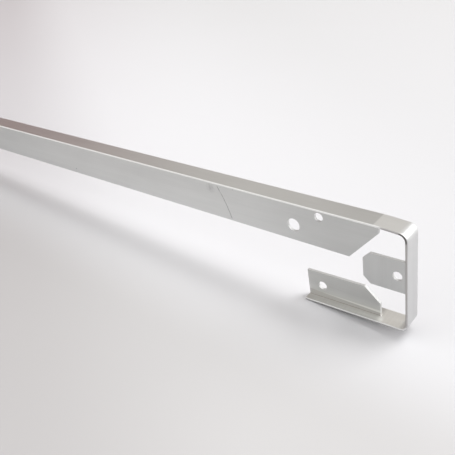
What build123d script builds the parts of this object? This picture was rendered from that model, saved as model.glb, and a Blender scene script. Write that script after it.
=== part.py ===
"""Worktop corner joint strip: a length of T profile with its web notched and its cap bent into a hook.

+X runs along the bar towards the hook, +Y across the cap, +Z up. All sizes are in millimetres.
The strip is drawn with the sharp top corner of the hook at the origin, then moved so that the origin
lies under the middle of its length, halfway across the cap, level with its lowest point.

The cap has three straights: the bar, the upright and the leg. Places on each are given as the distance
along it from its sharp corner and the depth inside the cap's outer face.
"""
import os
from math import cos, radians, sin, tan

from build123d import *

# T profile
length = 630.0
cap_width = 8.0
cap_thickness = 0.8
web_thickness = 1.0
depth = 18.0
edge_radius = 0.35
root_radius = 0.2

# Hook, measured along the outside of the cap from sharp corner to sharp corner
hook_height = 40.0
leg_length = 41.5
nose_radius = 3.2
heel_radius = 3.2
kink_radius = 5.0
nose_drop = 3.0
springback = 1.2

# Web along the bar, cut back behind the nose below a short square end
bar_web_end = 11.6
bar_end_depth = 5.3
bar_cut_angle = 48.5

# Web tab on the upright
tab_start = 13.6
tab_height = 12.9
tab_chamfer = 2.7

# Web on the leg, trimmed lower and cut back behind the heel
leg_web_start = 11.7
leg_web_height = 11.8
leg_chamfer = 5.8

# Screw holes
wide_hole = 5.3
wide_hole_along = 45.8
wide_hole_depth = 11.5
screw_hole = 3.6
bar_hole_along = 34.7
bar_hole_depth = 5.3
tab_hole_along = 20.0
tab_hole_depth = 5.2
leg_hole_along = 35.4
leg_hole_depth = 6.1


def beyond(corner, heading, distance):
    """The point in the side view that lies a distance from a corner in the direction of a heading."""
    turn = radians(heading)
    return (corner[0] + distance * cos(turn), corner[1] + distance * sin(turn))


def side_plane(corner, heading):
    """The strip's middle plane, with x along a straight from its corner and y out of the cap."""
    turn = radians(heading)
    return Plane(origin=(corner[0], 0, corner[1]), x_dir=(cos(turn), 0, sin(turn)), z_dir=(0, -1, 0))


def grow_web(side, start, end, reach):
    """Adds a web with root radii to the inside of a straight, from start to end along it."""
    across = Plane(origin=side.from_local_coords((start, 0, 0)), x_dir=(0, 1, 0), z_dir=side.x_dir)
    root_out = web_thickness / 2 + root_radius
    root_in = cap_thickness + root_radius
    with BuildSketch(across) as section:
        with Locations((0, -cap_thickness / 2)):
            Rectangle(web_thickness, reach - cap_thickness / 2, align=(Align.CENTER, Align.MAX))
            Rectangle(2 * root_out, root_in - cap_thickness / 2, align=(Align.CENTER, Align.MAX))
        with Locations((-root_out, -root_in), (root_out, -root_in)):
            Circle(root_radius, mode=Mode.SUBTRACT)
    extrude(section.sketch, amount=end - start)


def drill(side, along, inside, diameter):
    """Drills a hole through the web of a straight."""
    with BuildSketch(side) as hole:
        with Locations((along, -inside)):
            Circle(diameter / 2)
    extrude(hole.sketch, amount=web_thickness, both=True, mode=Mode.SUBTRACT)


def trim(side, along, inside, run, rise):
    """Cuts a corner off the web of a straight, run along the straight and rise towards the cap."""
    with BuildSketch(side) as corner:
        Polygon((along, -inside), (along + run, -inside), (along, rise - inside), align=None)
    extrude(corner.sketch, amount=web_thickness, both=True, mode=Mode.SUBTRACT)


# Each bend opens a little when it is let go, so the upright leans out and the leg slopes down
bend = 90 - springback
kink = (kink_radius * tan(radians(nose_drop / 2)) - bar_web_end, 0)
nose_fall = -kink[0] * tan(radians(nose_drop))
nose = (nose_fall * tan(radians(springback)), -nose_fall)
heel = beyond((0, 0), -bend, hook_height)
tip = beyond(heel, -2 * bend, leg_length)

bar_cut_rise = depth - bar_end_depth
bar_cut_run = bar_cut_rise / tan(radians(bar_cut_angle))

bar = side_plane((0, 0), 0)
upright = side_plane((0, 0), -bend)
leg = side_plane(heel, -2 * bend)

with BuildPart() as strip:
    # Cap, bent down at the nose and back under at the heel
    with BuildLine(Plane.XZ):
        FilletPolyline((-length, 0), kink, nose, heel, tip, radius=[kink_radius, nose_radius, heel_radius])
    with BuildSketch(Plane.YZ.offset(-length)):
        with Locations((0, -cap_thickness / 2)):
            RectangleRounded(cap_width, cap_thickness, edge_radius)
    sweep()

    grow_web(bar, -length, -bar_web_end, depth)
    trim(bar, -bar_web_end, depth, -bar_cut_run, bar_cut_rise)
    drill(bar, -wide_hole_along, wide_hole_depth, wide_hole)
    drill(bar, -bar_hole_along, bar_hole_depth, screw_hole)

    grow_web(upright, tab_start, tab_start + tab_height, depth)
    trim(upright, tab_start, depth, tab_chamfer, tab_chamfer)
    trim(upright, tab_start + tab_height, depth, -tab_chamfer, tab_chamfer)
    drill(upright, tab_hole_along, tab_hole_depth, screw_hole)

    grow_web(leg, leg_web_start, leg_length, leg_web_height)
    trim(leg, leg_web_start, leg_web_height, leg_chamfer, leg_chamfer)
    drill(leg, leg_hole_along, leg_hole_depth, screw_hole)

box = strip.part.bounding_box()
strip.part = Pos(-box.center().X, 0, -box.min.Z) * strip.part
strip.part.label = "worktop_joint_strip"

os.makedirs("parts", exist_ok=True)
export_step(strip.part, "parts/worktop_joint_strip.step")
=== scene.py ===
"""Looks, stage, light and camera for the worktop corner joint strip.

The strip is the CAD model's own mesh. Its material works in the strip's own coordinates, in millimetres:
+X along the bar towards the hook, +Y across the cap, +Z up.
"""

import math
from collections import namedtuple

import bpy
from mathutils import Matrix, Vector

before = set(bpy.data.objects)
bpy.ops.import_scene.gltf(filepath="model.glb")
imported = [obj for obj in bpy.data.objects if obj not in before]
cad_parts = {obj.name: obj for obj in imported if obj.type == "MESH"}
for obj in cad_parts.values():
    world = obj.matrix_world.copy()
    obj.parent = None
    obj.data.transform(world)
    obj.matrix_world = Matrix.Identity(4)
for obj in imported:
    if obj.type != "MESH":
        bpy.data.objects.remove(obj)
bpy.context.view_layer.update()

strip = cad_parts["worktop_joint_strip"]

# Camera: place and turn that put the strip where the photograph has it
CAMERA_AT = (0.38324, -0.151491, 0.146931)
CAMERA_RIGHT = Vector((0.76212, 0.633078, -0.13559))
CAMERA_UP = Vector((-0.244164, 0.475004, 0.845432))
CAMERA_BACK = Vector((0.59963, -0.611214, 0.516585))
LENS = 47.691
SENSOR_WIDTH = 36

# The two places where the strip touches the floor, in metres: end of the leg and far end of the bar's web
LEG_END_X = 0.27399
FAR_END_X = -0.31539
FAR_END_Z = 0.02373
FLOOR_SIZE = 6.0

# Borders between parts in the side view, in millimetres
BAR_TOP = 41.25
UNDER_CAP = 40.3
NOSE_FOOT = 39.6
KINK_X = 302.6
UPRIGHT_X = 312.6
TAB_START_X = 296.4
TAB_LOW = 14.0
TAB_HIGH = 28.6
LEG_TOP = 3.4
LEG_WEB_END_X = 303.5

# A point on the leg's inner face, and how much the face rises along X
LEG_SEAT_X = 308.42
LEG_SEAT_Z = 2.24
LEG_SLOPE = 0.0419

# Distances of the cap's edges and the web's faces from the middle plane, in millimetres
CAP_EDGE = 4.0
CAP_ROUND = (CAP_EDGE - 0.38, CAP_EDGE - 0.2)
WEB_FACE = 0.5

# Colours of the metal, of the highlights and shade painted on it, of a dark band round the nose and of its
# marks, and the metal's roughness along its lines
ALUMINIUM = (0.665, 0.665, 0.66)
ROUGHNESS = (0.29, 0.35)
# Painted highlight on the cap's rounded edges along the bar
EDGE_PAINTED_HIGHLIGHT = (0.93, 0.93, 0.915, 1)
# Softer painted highlight on the leg's rounded edges and on cut faces that face the upright
SOFT_PAINTED_HIGHLIGHT = (0.75, 0.75, 0.74, 1)
# Painted shade on the cap's edges past the kink
EDGE_PAINTED_SHADE = (0.5, 0.485, 0.48, 1)
# Dark band on the cap's edges round the inside of the nose
NOSE_EDGE_DARK = (0.15, 0.145, 0.14, 1)
# Painted shade along the leg web's root and under the leg's edges
PAINTED_SHADE = (0.33, 0.31, 0.29, 1)
MARK = (0.2, 0.2, 0.2, 1)


class Nodes:
    """Adds nodes to a tree. What a method takes and returns are outputs of nodes, or plain values."""

    def __init__(self, tree):
        self.tree = tree

    def put(self, value, socket):
        if isinstance(value, bpy.types.NodeSocket):
            self.tree.links.new(value, socket)
        else:
            socket.default_value = value

    def add(self, kind, **settings):
        node = self.tree.nodes.new(kind)
        for name, value in settings.items():
            setattr(node, name, value)
        return node

    def math(self, operation, first, second=0.0):
        node = self.add("ShaderNodeMath", operation=operation)
        self.put(first, node.inputs[0])
        self.put(second, node.inputs[1])
        return node.outputs[0]

    def plus(self, first, second):
        return self.math("ADD", first, second)

    def minus(self, first, second):
        return self.math("SUBTRACT", first, second)

    def times(self, first, *others):
        product = first
        for other in others:
            product = self.math("MULTIPLY", product, other)
        return product

    def most(self, first, *others):
        largest = first
        for other in others:
            largest = self.math("MAXIMUM", largest, other)
        return largest

    def vector(self, operation, first, second):
        node = self.add("ShaderNodeVectorMath", operation=operation)
        self.put(first, node.inputs[0])
        self.put(second, node.inputs["Scale" if operation == "SCALE" else 1])
        return node.outputs["Value" if operation in ("DOT_PRODUCT", "DISTANCE") else "Vector"]

    def split(self, vector):
        node = self.add("ShaderNodeSeparateXYZ")
        self.put(vector, node.inputs[0])
        return node.outputs[0], node.outputs[1], node.outputs[2]

    def join(self, x, y, z):
        node = self.add("ShaderNodeCombineXYZ")
        for value, socket in zip((x, y, z), node.inputs):
            self.put(value, socket)
        return node.outputs[0]

    def span(self, value, start, end, low=0.0, high=1.0):
        """A smooth step from low to high while the value goes from start to end."""
        node = self.add("ShaderNodeMapRange", interpolation_type="SMOOTHSTEP")
        for entry, socket in zip((value, start, end, low, high), node.inputs):
            self.put(entry, socket)
        return node.outputs[0]

    def past(self, value, border, blur=0.3):
        """One above a border and nought below it, with a smooth step."""
        return self.span(value, border - blur, border + blur)

    def below(self, value, border, blur=0.3):
        """One below a border and nought above it, with a smooth step."""
        return self.span(value, border + blur, border - blur)

    def inside(self, value, low, high, blur=0.3):
        """One between low and high and nought outside, with smooth steps."""
        return self.times(self.past(value, low, blur), self.below(value, high, blur))

    def noise(self, vector, scale, detail=2.0):
        node = self.add("ShaderNodeTexNoise")
        self.put(vector, node.inputs["Vector"])
        self.put(scale, node.inputs["Scale"])
        self.put(detail, node.inputs["Detail"])
        return node.outputs["Fac"]

    def tone(self, noise, low, high, reach=0.2):
        """A tone from low to high that follows a noise, which mostly stays within reach of a half."""
        return self.span(noise, 0.5 - reach, 0.5 + reach, low, high)

    def mix(self, share, first, second):
        node = self.add("ShaderNodeMix", data_type="RGBA")
        self.put(share, node.inputs[0])
        self.put(first, node.inputs[6])
        self.put(second, node.inputs[7])
        return node.outputs[2]

    def toned(self, colour, share, factor, tint=(1.0, 1.0, 1.0)):
        """The colour, times a factor and a tint where share is one."""
        return self.mix(share, colour, self.vector("MULTIPLY", self.vector("SCALE", colour, factor), tint))


# A point's place in millimetres, its normal, and masks for side faces, other faces and the web's front
Point = namedtuple("Point", "x y z off_middle normal_x normal_z facing on_side off_side on_front")


def point_on_strip(n):
    """The point being shaded, in the strip's own coordinates."""
    source = n.add("ShaderNodeTexCoord")
    x, y, z = n.split(n.vector("SCALE", source.outputs["Object"], 1000.0))
    normal_x, normal_y, normal_z = n.split(source.outputs["Normal"])
    off_middle = n.math("ABSOLUTE", y)
    facing = n.math("ABSOLUTE", normal_y)
    on_side = n.past(facing, 0.5, 0.1)
    off_side = n.below(facing, 0.5, 0.1)
    on_front = n.times(n.span(y, 0.2 - WEB_FACE, 0.05 - WEB_FACE), n.span(facing, 0.8, 0.9))
    return Point(x, y, z, off_middle, normal_x, normal_z, facing, on_side, off_side, on_front)


LINES_REACH = 0.25


def extrusion_grain(n, at):
    """Lines, bands and clouds drawn out along the extrusion. Returns the lines, and the tone of all three."""
    # Where the metal was bent upright, the grain stands upright too
    on_tab = n.times(n.inside(at.x, TAB_START_X, UPRIGHT_X + 1), n.inside(at.z, TAB_LOW, TAB_HIGH))
    upright = n.most(n.past(at.x, UPRIGHT_X), on_tab)
    level = n.minus(1.0, upright)
    along = n.plus(n.times(at.x, level), n.times(at.z, upright))
    across = n.plus(n.times(at.z, level), n.times(at.x, upright))
    across = n.times(across, n.span(at.facing, 0.3, 0.6))

    def grain(shrink_along, shrink_cap, fineness, detail):
        place = n.join(n.times(along, shrink_along), n.times(at.y, shrink_cap), across)
        return n.noise(place, fineness, detail)

    lines = grain(0.02, 1.0, 2.6, 3.0)
    bands = grain(0.012, 0.8, 0.4, 2.0)
    clouds = grain(0.25, 1.0, 0.09, 3.0)
    line_tone = n.tone(lines, 0.985, 1.015, LINES_REACH)
    return lines, n.times(line_tone, n.tone(bands, 0.99, 1.01), n.tone(clouds, 0.975, 1.025))


# Painted sheen on the cap between kink and nose, and painted shade on the upright
NOSE_SHEEN_TONE = 1.2
UPRIGHT_TONE = 0.91
# Painted shade on the top of the bar towards the kink: where it starts and ends, and the tones before and
# after it
CAP_TO_KINK = (275.0, 300.0, 1.0, 0.94)


def with_bend_tones(n, at, colour):
    """Painted sheen on the cap between kink and nose, painted shade on the upright and on the cap before the
    kink.
    """
    # Painted sheen between kink and nose
    nose_sheen = n.times(n.past(at.x, KINK_X + 0.25, 0.25), n.past(at.z, NOSE_FOOT, 0.6))
    colour = n.toned(colour, nose_sheen, NOSE_SHEEN_TONE)
    # Painted shade on the upright
    on_upright = n.times(n.past(at.x, UPRIGHT_X), n.below(at.z, NOSE_FOOT, 0.4))
    colour = n.toned(colour, on_upright, UPRIGHT_TONE)
    # Painted shade on the cap before the kink
    before_kink = n.times(n.past(at.z, BAR_TOP, 0.25), n.below(at.x, KINK_X, 0.25))
    return n.toned(colour, before_kink, n.span(at.x, *CAP_TO_KINK))


# Painted light, reflection and shade on the webs: tints, and changes of tone: where one starts and ends, and
# the tones before and after it
LEG_WEB_TINT = (1.08, 1.085, 1.055)
LEG_WEB_FOOT = (1.7, 2.4, 1.38, 1.0)
LEG_WEB_TO_TOP = (2.7, 6.0, 1.0, 0.83)
FRONT_TINT = (0.995, 1.005, 1.0)
FRONT_TO_MIDDLE = (60.0, 160.0, 0.95, 1.11)
FRONT_TO_HOOK = (230.0, 295.0, 1.0, 0.8)


def with_web_tones(n, at, colour):
    """Painted reflection and shade on the webs: web on the leg palest at its foot, darker towards its top.
    Front of the other webs palest midway along, greyer at the hook.
    """
    # Painted light at the foot of the leg's web and painted shade towards its top
    leg_web = n.times(n.below(at.z, TAB_LOW - 1.0, 1.0), n.below(at.x, UPRIGHT_X), at.on_side)
    seat = n.plus(n.times(n.minus(at.x, LEG_SEAT_X), LEG_SLOPE), LEG_SEAT_Z)
    above_seat = n.minus(at.z, seat)
    leg_web_tone = n.times(n.span(above_seat, *LEG_WEB_FOOT), n.span(above_seat, *LEG_WEB_TO_TOP))
    colour = n.toned(colour, leg_web, leg_web_tone, LEG_WEB_TINT)
    # Painted reflection along the front of the bar and tab, painted shade towards the hook
    front_tone = n.times(n.span(at.x, *FRONT_TO_MIDDLE), n.span(at.x, *FRONT_TO_HOOK))
    bar_and_tab = n.times(at.on_front, n.past(at.z, TAB_LOW - 0.5, 0.5))
    return n.toned(colour, bar_and_tab, front_tone, FRONT_TINT)


def with_edge_tones(n, at, colour, edge):
    """Rounded edges of the cap: a painted highlight along the bar and a softer one on the leg, painted shade
    past the kink, and a dark band round the inside of the nose.
    """
    past_kink = n.times(n.span(at.x, KINK_X + 1.5, KINK_X + 4.0), n.span(at.z, LEG_TOP, LEG_TOP + 1.0))
    # Painted highlight on the cap's edges, softer on the leg
    colour = n.mix(edge, colour, n.mix(n.past(at.z, TAB_LOW - 1.0, 1.0), SOFT_PAINTED_HIGHLIGHT, EDGE_PAINTED_HIGHLIGHT))
    # Painted shade on the edges past the kink, above the leg
    colour = n.mix(n.times(edge, past_kink), colour, EDGE_PAINTED_SHADE)
    # Dark band on the edges round the inside of the nose
    return n.mix(nose_dark_edges(n, at), colour, NOSE_EDGE_DARK)


# Where the cap's edges are darkened round the inside of the nose: the bend's middle and inner radius, and the
# width
NOSE = (311.49, 38.09)
NOSE_INSIDE = 2.4
NOSE_DARK_WIDTH = 0.65


def nose_dark_edges(n, at):
    """One along the cap's edges round the nose, from the inside out."""
    out = n.vector("DISTANCE", n.join(at.x, 0.0, at.z), (NOSE[0], 0.0, NOSE[1]))
    ring = n.below(out, NOSE_INSIDE + NOSE_DARK_WIDTH, 0.1)
    bend = n.times(n.past(at.x, NOSE[0] + 0.2, 0.5), n.past(at.z, NOSE[1] - 0.2, 0.6))
    on_edge = n.past(at.off_middle, CAP_EDGE - 0.21, 0.09)
    return n.times(ring, bend, on_edge)


def sheared_faces(n, at):
    """One on the edges and cut faces of the webs and on the walls of the holes."""
    under_cap = n.times(n.inside(at.z, LEG_TOP - 1.0, UNDER_CAP), n.below(at.x, UPRIGHT_X + 0.3))
    return n.times(at.off_side, under_cap, n.below(at.off_middle, WEB_FACE + 0.06, 0.04))


def with_shear_tones(n, at, colour, sheared):
    """Fine lines across the cut faces, and a painted highlight where they face the upright."""
    # Painted highlight on cut faces that face the upright
    facing_upright = n.times(sheared, n.span(at.normal_x, 0.4, 0.9))
    colour = n.mix(facing_upright, colour, SOFT_PAINTED_HIGHLIGHT)
    shear_lines = n.noise(n.join(at.x, n.times(at.y, 0.1), at.z), 5.0, 2.0)
    return n.toned(colour, sheared, n.tone(shear_lines, 0.9, 1.05))


LEG_TINT = (1.0, 0.985, 0.965)
# Painted shade on the top of the leg before the end of its web and painted light past it: where the change
# starts and ends, and the tones before and after it
LEG_TO_HEEL = (LEG_WEB_END_X - 1.0, LEG_WEB_END_X + 1.5, 0.8, 1.17)
UNDERSIDE_SHADE = 0.8


def with_leg_tones(n, at, colour, edge):
    """Fine lines across the leg from the bending tool; on its top painted shade before its web's end and
    painted light towards the heel, and painted shade along its web's root and under its edges.
    """
    on_leg = n.times(n.span(at.z, LEG_TOP, LEG_TOP - 0.6), n.span(at.x, UPRIGHT_X, UPRIGHT_X - 1.0))
    rubs = n.noise(n.join(at.x, n.times(at.y, 0.05), at.z), 1.6, 3.0)
    # Painted shade on the leg's top before its web's end, painted light past it towards the heel
    leg_tone = n.times(n.tone(rubs, 0.98, 1.02), n.span(at.x, *LEG_TO_HEEL))
    colour = n.toned(colour, n.times(on_leg, at.off_side), leg_tone, LEG_TINT)
    # Painted shade under the leg's edges
    under = n.times(on_leg, edge, n.span(at.normal_z, 0.1, -0.6))
    colour = n.mix(n.times(under, UNDERSIDE_SHADE), colour, PAINTED_SHADE)
    # Painted shade along the root of the leg's web
    by_web = n.inside(at.off_middle, WEB_FACE, WEB_FACE + 0.22, 0.06)
    root = n.times(by_web, n.below(at.x, LEG_WEB_END_X + 0.15, 0.15))
    return n.mix(n.times(on_leg, root), colour, PAINTED_SHADE)


# Marks on the web's front face, in millimetres in the side view
SCRATCH_TOP = (232.9, 38.0)
SCRATCH_FOOT = (238.5, 24.6)
SCRATCH_BULGE = 0.55
SCRATCH_WIDTH = 0.3
SPECK = (136.7, 25.9)
SPECK_RADIUS = 0.32
DOTS = ((234.5, 37.75), (241.0, 38.3))
DOT_RADIUS = 0.3
DOT_DEPTH = 0.35
SMUDGE = (229.2, 36.5)
SMUDGE_SIZE = 3.0


def scratch(n, at):
    """One along a thin line that runs down the web in a shallow bow and wobbles a little."""
    fall = SCRATCH_TOP[1] - SCRATCH_FOOT[1]
    drift = SCRATCH_FOOT[0] - SCRATCH_TOP[0]
    down = n.math("DIVIDE", n.minus(SCRATCH_TOP[1], at.z), fall)
    bow = n.times(down, n.minus(1.0, down), 4 * SCRATCH_BULGE)
    straight = n.plus(n.times(down, drift), SCRATCH_TOP[0])
    wobble = n.times(n.minus(n.noise(n.join(0.0, 0.0, at.z), 0.4), 0.5), 0.5)
    aside = n.math("ABSOLUTE", n.minus(at.x, n.plus(n.plus(straight, bow), wobble)))
    line = n.times(n.span(aside, SCRATCH_WIDTH, 0.1 * SCRATCH_WIDTH), n.inside(down, 0.0, 1.0, 0.04))
    depth = n.span(n.noise(n.join(at.x, 0.0, at.z), 0.8), 0.3, 0.6, 0.45, 0.8)
    return n.times(line, depth)


def photographed_marks(n, at):
    """One where the web is marked: a thin curved scratch, a dark speck, two faint dots and a faint smudge."""
    side_view = n.join(at.x, 0.0, at.z)

    def distance(spot):
        return n.vector("DISTANCE", side_view, (spot[0], 0.0, spot[1]))

    speck = n.span(distance(SPECK), SPECK_RADIUS, 0.5 * SPECK_RADIUS)
    dots = [n.span(distance(dot), DOT_RADIUS, 0.3 * DOT_RADIUS, 0.0, DOT_DEPTH) for dot in DOTS]
    patches = n.span(n.noise(side_view, 1.2), 0.3, 0.6, 0.05, 0.3)
    smudge = n.times(n.span(distance(SMUDGE), SMUDGE_SIZE, 0.0), patches)
    return n.most(scratch(n, at), speck, *dots, smudge)


# How much rougher edges and sheared faces are, how deep lines are in metres, and marks next to lines
EDGE_ROUGHER = 0.12
SHEARED_ROUGHER = 0.3
LINE_STRENGTH = 0.12
LINE_DEPTH = 0.00002
MARK_DEPTH = 2.0


def satin_aluminium():
    """Mill-finish aluminium with the grain of the extrusion, its marks, and painted highlights, sheen,
    reflection and shade.
    """
    material = bpy.data.materials.new("satin_aluminium")
    material.use_nodes = True
    shader = material.node_tree.nodes["Principled BSDF"]
    n = Nodes(material.node_tree)
    at = point_on_strip(n)
    lines, tone = extrusion_grain(n, at)
    edge = n.span(at.off_middle, *CAP_ROUND)
    sheared = sheared_faces(n, at)
    marks = n.times(at.on_front, photographed_marks(n, at))

    colour = n.vector("SCALE", ALUMINIUM, tone)
    colour = with_bend_tones(n, at, colour)
    colour = with_web_tones(n, at, colour)
    colour = with_edge_tones(n, at, colour, edge)
    colour = with_shear_tones(n, at, colour, sheared)
    colour = with_leg_tones(n, at, colour, edge)
    n.put(n.mix(marks, colour, MARK), shader.inputs["Base Color"])

    rough = n.tone(lines, *ROUGHNESS, LINES_REACH)
    rough = n.plus(rough, n.times(edge, EDGE_ROUGHER))
    rough = n.plus(rough, n.times(sheared, SHEARED_ROUGHER))
    n.put(rough, shader.inputs["Roughness"])
    shader.inputs["Metallic"].default_value = 1.0

    bump = n.add("ShaderNodeBump")
    bump.inputs["Strength"].default_value = LINE_STRENGTH
    bump.inputs["Distance"].default_value = LINE_DEPTH
    n.put(n.minus(lines, n.times(marks, MARK_DEPTH)), bump.inputs["Height"])
    n.put(bump.outputs["Normal"], shader.inputs["Normal"])
    return material


def add_camera():
    data = bpy.data.cameras.new("camera")
    data.sensor_width = SENSOR_WIDTH
    data.sensor_fit = "HORIZONTAL"
    data.lens = LENS
    data.clip_start = 0.01
    data.clip_end = 20
    camera = bpy.data.objects.new("camera", data)
    bpy.context.collection.objects.link(camera)
    turn = Matrix((CAMERA_RIGHT, CAMERA_UP, CAMERA_BACK)).transposed().to_4x4()
    camera.matrix_world = Matrix.Translation(CAMERA_AT) @ turn
    bpy.context.scene.camera = camera


# The table's tone, with painted light and shade: a painted pool of light palest behind the bar, a painted
# shadow greyer in front of it, and painted shade to both sides of the picture, in metres
TABLE = (0.875, 0.87, 0.893)
TABLE_ROUGHNESS = 0.25
FRONT_TONE = (0.8, 0.79, 0.77)
FRONT_FROM = (0.005, -0.05)
LEFT_TONE = (0.84, 0.83, 0.83)
LEFT_FROM = (0.11, 0.03)
RIGHT_TONE = (0.9, 0.9, 0.895)
RIGHT_FROM = (0.1, 0.3)
SIDEWAYS = (0.548, 0.836, 0.0)


def add_floor():
    """A pale glossy table, tilted so that both places where the strip rests touch it."""
    bpy.ops.mesh.primitive_plane_add(size=FLOOR_SIZE, location=(LEG_END_X, 0, 0))
    floor = bpy.context.object
    floor.name = "floor"
    floor.rotation_euler.y = math.atan2(FAR_END_Z, LEG_END_X - FAR_END_X)
    material = bpy.data.materials.new("floor")
    material.use_nodes = True
    shader = material.node_tree.nodes["Principled BSDF"]
    n = Nodes(material.node_tree)
    place = n.vector("ADD", n.add("ShaderNodeTexCoord").outputs["Object"], (LEG_END_X, 0.0, 0.0))
    aside = n.vector("DOT_PRODUCT", place, SIDEWAYS)
    colour = TABLE
    # Painted shadow in front of the bar and painted shade to the left and right of the painted pool of light
    for value, (start, end), tone in (
        (n.split(place)[1], FRONT_FROM, FRONT_TONE),
        (aside, LEFT_FROM, LEFT_TONE),
        (aside, RIGHT_FROM, RIGHT_TONE),
    ):
        colour = n.vector("MULTIPLY", colour, n.mix(n.span(value, start, end), (1, 1, 1, 1), (*tone, 1)))
    n.put(colour, shader.inputs["Base Color"])
    shader.inputs["Roughness"].default_value = TABLE_ROUGHNESS
    floor.data.materials.append(material)


# One large soft lamp high up, behind the strip and beyond its hook
LAMP_AT = (0.77, 0.58, 1.63)
LAMP_TARGET = (0.28, 0, 0)
LAMP_SIZE = 0.9
LAMP_POWER = 17.1


def add_softbox():
    data = bpy.data.lights.new("window", "AREA")
    data.size = LAMP_SIZE
    data.energy = LAMP_POWER
    lamp = bpy.data.objects.new("window", data)
    lamp.location = LAMP_AT
    lamp.rotation_euler = (Vector(LAMP_TARGET) - Vector(LAMP_AT)).to_track_quat("-Z", "Y").to_euler()
    bpy.context.collection.objects.link(lamp)


# The room, and parts of it: colour, direction, and the angles from there where it starts and ends fading
ROOM = (0.32, 0.322, 0.325, 1)
BRIGHT_CEILING = ((1.17, 1.17, 1.16, 1), (-0.6, -0.45, 0.65), 20, 55)
WINDOW = ((3.0, 3.0, 3.0, 1), (0.56, 0.75, 0.36), 8, 27)
DULL_WALL = ((0.675, 0.65, 0.615, 1), (-0.6, 0.7, 0.38), 25, 50)
BROWN_CORNER = ((0.33, 0.222, 0.215, 1), (-0.95, 0.25, 0.18), 10, 32)


def add_room():
    """A dim room, brightest low behind the hook, dull behind the bar and brownish beyond its far end."""
    world = bpy.data.worlds.new("room")
    bpy.context.scene.world = world
    world.use_nodes = True
    n = Nodes(world.node_tree)
    heading = n.add("ShaderNodeTexCoord").outputs["Generated"]
    colour = ROOM
    for part_colour, towards, core, reach in (BRIGHT_CEILING, WINDOW, DULL_WALL, BROWN_CORNER):
        closeness = n.vector("DOT_PRODUCT", heading, tuple(Vector(towards).normalized()))
        share = n.span(closeness, math.cos(math.radians(reach)), math.cos(math.radians(core)))
        colour = n.mix(share, colour, part_colour)
    n.put(colour, world.node_tree.nodes["Background"].inputs["Color"])


strip.data.materials.clear()
strip.data.materials.append(satin_aluminium())
add_floor()
add_softbox()
add_room()
bpy.context.scene.view_settings.view_transform = "Standard"
add_camera()
